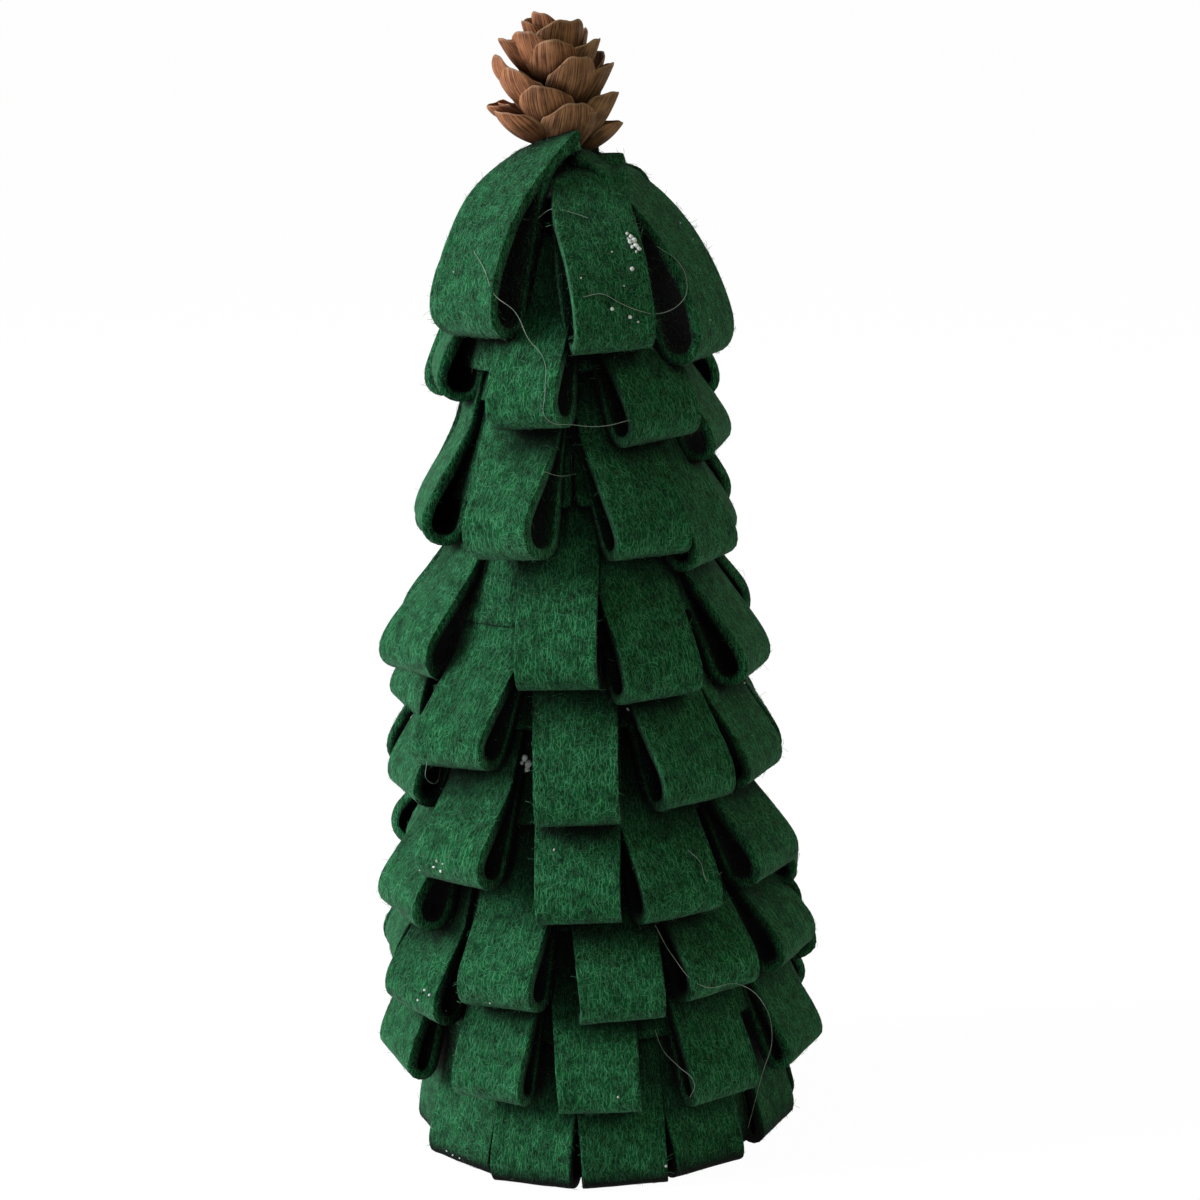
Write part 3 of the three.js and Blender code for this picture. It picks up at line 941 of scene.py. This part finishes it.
def seen_on_felt(x, y):
    """How far away the felt is at one spot of the picture, and the way that it faces there."""
    seen = []
    for piece in [*felt_bands, *felt_top_loops]:
        found, place, normal, _ = piece.ray_cast(camera.location, sight(x, y))
        if found:
            seen.append(((place - camera.location).length, normal))
    return min(seen, key=lambda found: found[0]) if seen else None


bpy.context.view_layer.update()
bpy.ops.object.select_all(action="DESELECT")
bpy.ops.mesh.primitive_ico_sphere_add(subdivisions=2, radius=1)
crumb = bpy.context.object
bpy.ops.object.mode_set(mode="EDIT")
bpy.ops.mesh.select_all(action="SELECT")
bpy.ops.transform.vertex_random(offset=crumb_dent, seed=3)
bpy.ops.object.mode_set(mode="OBJECT")
scattered = []
for x, y, share in crumbs:
    spot = seen_on_felt(x, y)
    if spot:
        place = camera.location + sight(x, y) * spot[0]
        size = largest_crumb * share
        turn = Quaternion(chance.normal(size=4)).normalized()
        copy = crumb.copy()
        copy.data = crumb.data.copy()
        bpy.context.collection.objects.link(copy)
        scale = Vector(chance.uniform(*crumb_shape, 3)) * size
        middle = place + spot[1] * size * crumb_sink_share
        copy.data.transform(Matrix.LocRotScale(middle, turn, scale))
        scattered.append(copy)
bpy.data.objects.remove(crumb)
foam_crumbs = join(scattered, "foam_crumbs")
crumb_foam, crumb_tree, crumb_finish = new_material("crumb of foam")
give(crumb_tree, crumb_finish, {
    "Base Color": mottled(
        crumb_tree, largest_crumb / 2, 2, (0.3, hair_colour), (0.6, crumb_colour)
    ),
    "Roughness": crumb_roughness,
})
foam_crumbs.data.materials.append(crumb_foam)
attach(foam_crumbs, "root")

strands = []
for line in hairs:
    line = [(x, y) for x, y in line if seen_on_felt(x, y)]
    distances = [seen_on_felt(x, y)[0] - hair_lift for x, y in line]
    # A hair is taut, so it spans the hollows between the loops.
    for _ in line:
        for index in range(1, len(line) - 1):
            taut = (distances[index - 1] + distances[index + 1]) / 2
            distances[index] = min(distances[index], taut)
    strand = bpy.data.curves.new("hair", "CURVE")
    strand.dimensions = "3D"
    strand.bevel_depth = hair_radius
    strand.bevel_resolution = 1
    strand.use_fill_caps = True
    run = strand.splines.new("BEZIER")
    run.bezier_points.add(len(line) - 1)
    for point, (x, y), distance in zip(run.bezier_points, line, distances):
        point.co = camera.location + sight(x, y) * distance
        point.handle_left_type = "AUTO"
        point.handle_right_type = "AUTO"
    strand_object = bpy.data.objects.new("hair", strand)
    bpy.context.collection.objects.link(strand_object)
    strands.append(strand_object)
pick(strands)
bpy.ops.object.convert(target="MESH")
long_hairs = join(strands, "long_hairs")
bpy.ops.object.shade_smooth()
pale_hair, hair_tree, hair_finish = new_material("pale hair")
give(hair_tree, hair_finish, {
    "Base Color": mottled(
        hair_tree, loose_longest, 2, (0.35, hair_root_colour), (0.65, hair_colour)
    ),
    "Roughness": hair_roughness,
})
long_hairs.data.materials.append(pale_hair)
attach(long_hairs, "root")


# Foam cone and glue
# The core is moulded foam beads with a matt skin. A ring of melted glue holds the foot of the
# natural cone on its tip, inside the ends of the top loops.

foam_colour = (0.80, 0.80, 0.78, 1)
foam_roughness = 0.7
bead_size = 0.0035
bead_bump_share = 0.5
glue_colour = (0.62, 0.52, 0.34, 1)
glue_roughness = 0.25

foam_skin, foam_tree, foam_finish = new_material("foam skin")
foam_place = joined(foam_tree, "ShaderNodeTexCoord").outputs["Object"]
beads = joined(
    foam_tree, "ShaderNodeTexVoronoi", {"Vector": foam_place, "Scale": 1 / bead_size}
)
bead_bump = joined(foam_tree, "ShaderNodeBump", {
    "Height": beads.outputs["Distance"],
    "Strength": bead_bump_share,
    "Distance": bead_size / 8,
}, invert=True)
give(foam_tree, foam_finish, {
    "Base Color": foam_colour,
    "Roughness": foam_roughness,
    "Normal": bead_bump.outputs["Normal"],
})

melted_glue, glue_tree, glue_finish = new_material("melted glue")
give(glue_tree, glue_finish, {"Base Color": glue_colour, "Roughness": glue_roughness})

for node_name, material in (("foam_cone", foam_skin), ("glue_ring", melted_glue)):
    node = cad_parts[node_name]
    node.data.materials.clear()
    node.data.materials.append(material)


# Natural cone
# A small dried cone: broad woody scales grow in a spiral from its axis and curl up round it,
# with fine lines along them and thin pale rims. The lowest stand out almost level.

# Painted light: orange on the lit left side of the cone, olive on its shaded right.
painted_light_orange = (0.98, 0.37, 0.16, 1)
painted_shade_olive = (0.76, 0.40, 0.18, 1)
scale_rim = (0.42, 0.26, 0.15, 1)
tint_steps = 40
painted_light_swing = 0.8
tint_stray = 4
scale_thickness = 0.0005
scale_cup = 0.0042
scale_columns = 8
scale_rows = 12
scale_ripple = 0.0003
scale_twist = 0.10
tip_rounding = 0.26
curl_rounding = 0.16
ragged_share = 0.04
cell_half = 0.49
root_share = 0.6
axis_radius = 0.0030
axis_foot = Vector((0.0015, 0, 0))
axis_below_top = 0.005
stalk_height = 0.010
stalk_share = 0.5
millimetre = 0.001
scale_lines = 42
scale_line_breaks = 1.4
scale_line_roughness = 0.7
wood_dark = (0.095, 0.085, 0.090, 1)
wood_light = (0.47, 0.47, 0.47, 1)
dark_share = 0.56
light_share = 0.80
wood_patch_size = 1 / 260
wood_patch_share = 0.35
wood_roughness = 0.6
wood_gloss = 0.1
wood_bump_share = 0.7
wood_bump_height = 0.0005
# Painted shade: each scale is darker towards its root, under the scales above.
painted_root_shade_range = (-0.30, 0.20)
darkest_painted_root_shade = 0.25
rim_range = (0.44, 0.49)
rim_share = 0.7
scale_width_shares = [0.26, 0.50, 0.76, 0.93, 1.0, 1.0, 0.99, 0.96, 0.88]

# Each scale's direction, how far its tip is below the cone's top and from its axis, its width
# and how much it drops from tip to root, in millimetres, and how far its tip curls outward.
cone_scales = [
    (-84, 23.5, 18.0, 12.0, 7.0, 0.0),
    (-56, 24.6, 18.0, 14.5, 10.5, 0.1),
    (96, 30.0, 16.8, 9.0, 8.0, 0.5),
    (40, 26.0, 13.5, 10.0, 11.0, 0.1),
    (20, 23.2, 14.5, 15.6, 13.0, -0.1),
    (-18, 18.2, 14.5, 14.5, 14.0, -0.2),
    (72, 21.8, 16.5, 13.5, 14.0, 0.6),
    (-54, 13.6, 15.6, 17.0, 14.5, -0.4),
    (-72, 10.6, 15.6, 16.5, 13.5, -1.0),
    (28, 11.8, 14.0, 13.8, 15.0, -0.2),
    (82, 14.6, 15.2, 11.5, 14.0, 0.7),
    (-2, 7.3, 11.5, 14.2, 14.0, -0.2),
    (64, 8.2, 13.0, 12.5, 14.0, 0.7),
    (-46, 4.8, 11.6, 15.5, 14.0, -0.1),
    (-80, 7.0, 14.2, 9.0, 12.0, 0.6),
    (30, 2.9, 8.2, 15.0, 14.0, 0.6),
    (-66, 2.5, 8.5, 8.0, 12.0, 0.4),
    (-48, 0.5, 5.6, 10.0, 13.0, 0.2),
    (122, 24.5, 16.0, 13.0, 8.0, 0.2),
    (168, 25.5, 16.0, 13.5, 8.0, 0.1),
    (214, 24.5, 16.5, 13.5, 8.5, 0.2),
    (250, 23.0, 16.0, 13.0, 9.0, 0.0),
    (142, 19.0, 15.0, 14.0, 13.5, 0.2),
    (188, 18.0, 14.5, 14.0, 14.0, 0.0),
    (236, 16.5, 14.5, 14.0, 14.0, 0.1),
    (118, 12.0, 14.0, 13.0, 14.0, 0.2),
    (166, 11.5, 13.5, 13.5, 14.0, 0.0),
    (212, 9.5, 13.0, 13.0, 14.0, 0.2),
    (250, 7.5, 12.0, 12.0, 14.0, 0.0),
    (130, 5.5, 10.5, 12.0, 14.0, 0.3),
    (184, 4.0, 9.5, 12.0, 14.0, 0.0),
    (232, 2.5, 8.0, 11.0, 13.0, 0.2),
    (148, 3.0, 5.5, 10.0, 13.0, 0.1),
]

cone_low, cone_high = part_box("pine_cone")


def cone_scale(direction, depth, reach, width, drop, curl):
    """One scale of the cone, from its root on the axis to its tip."""
    tip = Vector((reach * millimetre, cone_high.z - depth * millimetre))
    root = Vector((axis_radius * root_share, tip.y - drop * millimetre))
    out = tip.x - root.x
    rise = tip.y - root.y
    run = interpolate_bezier(
        root, root + Vector((out * 0.55, rise * 0.10)),
        tip - Vector((out * (0.02 + 0.3 * curl), rise * 0.45)), tip, 24,
    )
    line = np.array([(point.x, point.y) for point in run])
    tangents = np.gradient(line, axis=0)
    tangents /= np.linalg.norm(tangents, axis=1)[:, None]
    steps = np.linspace(0, 1, len(line))
    share_steps = np.linspace(0, 1, len(scale_width_shares))
    twist = chance.uniform(-scale_twist, scale_twist)
    ragged = chance.uniform(-ragged_share, ragged_share, scale_columns + 1)

    bpy.ops.object.select_all(action="DESELECT")
    bpy.ops.mesh.primitive_grid_add(
        x_subdivisions=scale_columns, y_subdivisions=scale_rows, size=1
    )
    piece = bpy.context.object
    cut = piece.data.uv_layers[0]
    cut.name = "cut"
    # Painted light with random tone: the tint runs from orange on the lit left to olive on the
    # shaded right, strayed per scale.
    tone_and_painted_light = tint_steps / 2 * (1 + painted_light_swing * math.sin(math.radians(direction)))
    tone_and_painted_light += chance.uniform(-tint_stray, tint_stray)
    shift = Vector((round(tone_and_painted_light), chance.integers(0, tint_steps)))
    flat = []
    for vertex in piece.data.vertices:
        column = vertex.index % (scale_columns + 1)
        across = 2 * column / scale_columns - 1
        along = vertex.index // (scale_columns + 1) / scale_rows
        spread = np.interp(along, share_steps, scale_width_shares)
        rounded = (tip_rounding - curl_rounding * curl) * abs(across) ** 3 * along ** 2
        reached = along * (1 - rounded + ragged[column] * along ** 4)
        radius = np.interp(reached, steps, line[:, 0])
        height = np.interp(reached, steps, line[:, 1])
        normal = Vector((
            np.interp(reached, steps, tangents[:, 1]),
            -np.interp(reached, steps, tangents[:, 0]),
        ))
        side = across * width * millimetre / 2 * spread
        ripple = scale_ripple * math.cos(across * 3 * math.pi) * along
        cup = scale_cup * (across * spread) ** 2 - ripple - side * twist * along
        radius -= normal.x * cup
        height -= normal.y * cup
        vertex.co = axis_foot + outward(direction) * radius + sideways(direction) * side
        vertex.co.z = height
        flat.append(shift + Vector((0.5 + across * cell_half, 0.5 + (2 * along - 1) * cell_half)))
    for corner in piece.data.loops:
        cut.uv[corner.index].vector = flat[corner.vertex_index]
    shape(piece, "SOLIDIFY", thickness=scale_thickness, offset=0)
    shape(piece, "SUBSURF", levels=1, render_levels=1)
    bpy.ops.object.shade_smooth()
    return piece


def cone_axis_wood():
    """The woody axis, down to where it stands in the foam."""
    low = cone_low.z
    high = cone_high.z - axis_below_top
    bpy.ops.object.select_all(action="DESELECT")
    bpy.ops.mesh.primitive_cylinder_add(
        vertices=16, radius=axis_radius, depth=high - low,
        location=axis_foot + Vector((0, 0, (high + low) / 2)),
    )
    axis = bpy.context.object
    bpy.ops.object.transform_apply(location=True)
    axis.data.uv_layers[0].name = "cut"
    for vertex in axis.data.vertices:
        if vertex.co.z < foam_high.z + stalk_height:
            vertex.co = axis_foot + (vertex.co - axis_foot) * stalk_share
            vertex.co.z = low
    return axis


scales = [cone_scale(*values) for values in cone_scales]
natural_cone = join([*scales, cone_axis_wood()], "natural_cone")

cone_wood, wood_tree, wood_finish = new_material("cone wood")
wood_flat = joined(wood_tree, "ShaderNodeUVMap", uv_map="cut").outputs["UV"]
wood_lines_place = worked_out(
    wood_tree, "MULTIPLY", wood_flat, (scale_lines, scale_line_breaks, 0),
    node_type="ShaderNodeVectorMath",
)
wood_lines = noise(wood_tree, wood_lines_place, 1, 3, scale_line_roughness)
wood_place = joined(wood_tree, "ShaderNodeTexCoord").outputs["Object"]
wood_patches = noise(wood_tree, wood_place, wood_patch_size, 3)
wood_mask = worked_out(wood_tree, "MULTIPLY_ADD", wood_patches, wood_patch_share, wood_lines)
wood_shade = ramp(wood_tree, wood_mask, (dark_share, wood_dark), (light_share, wood_light))
wood_across = joined(wood_tree, "ShaderNodeSeparateXYZ", {0: wood_flat}).outputs["X"]
# Painted light with random tone: orange on the lit left, olive on the shaded right.
wood_tone_and_painted_light_share = ranged(wood_tree, wood_across, 0, tint_steps, 0, 1)
wood_tone_and_painted_light = ramp(wood_tree, wood_tone_and_painted_light_share, (0, painted_light_orange), (1, painted_shade_olive))
wood_colour = mixed(wood_tree, wood_shade, wood_tone_and_painted_light, blend="MULTIPLY")
wood_cell = worked_out(wood_tree, "FRACTION", wood_flat, node_type="ShaderNodeVectorMath")
wood_from_middle = worked_out(
    wood_tree, "SUBTRACT", wood_cell, (0.5, 0.5, 0), node_type="ShaderNodeVectorMath"
)
wood_edges = joined(wood_tree, "ShaderNodeSeparateXYZ", {0: wood_from_middle}).outputs
# Painted shade, darker towards each scale's root.
painted_root_shade = ranged(wood_tree, wood_edges["Y"], *painted_root_shade_range, darkest_painted_root_shade, 1)
wood_side = worked_out(wood_tree, "ABSOLUTE", wood_edges["X"])
wood_outer = worked_out(wood_tree, "MAXIMUM", wood_side, wood_edges["Y"])
wood_rim = ranged(wood_tree, wood_outer, *rim_range, 0, rim_share)
wood_rimmed = mixed(wood_tree, wood_colour, scale_rim, wood_rim)
wood_bump = joined(wood_tree, "ShaderNodeBump", {
    "Height": wood_lines,
    "Strength": wood_bump_share,
    "Distance": wood_bump_height,
})
give(wood_tree, wood_finish, {
    "Base Color": mixed(wood_tree, wood_rimmed, painted_root_shade, blend="MULTIPLY"),
    "Roughness": wood_roughness,
    "Specular IOR Level": wood_gloss,
    "Normal": wood_bump.outputs["Normal"],
})
natural_cone.data.materials.append(cone_wood)
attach(natural_cone, "root")
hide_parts("pine_cone")
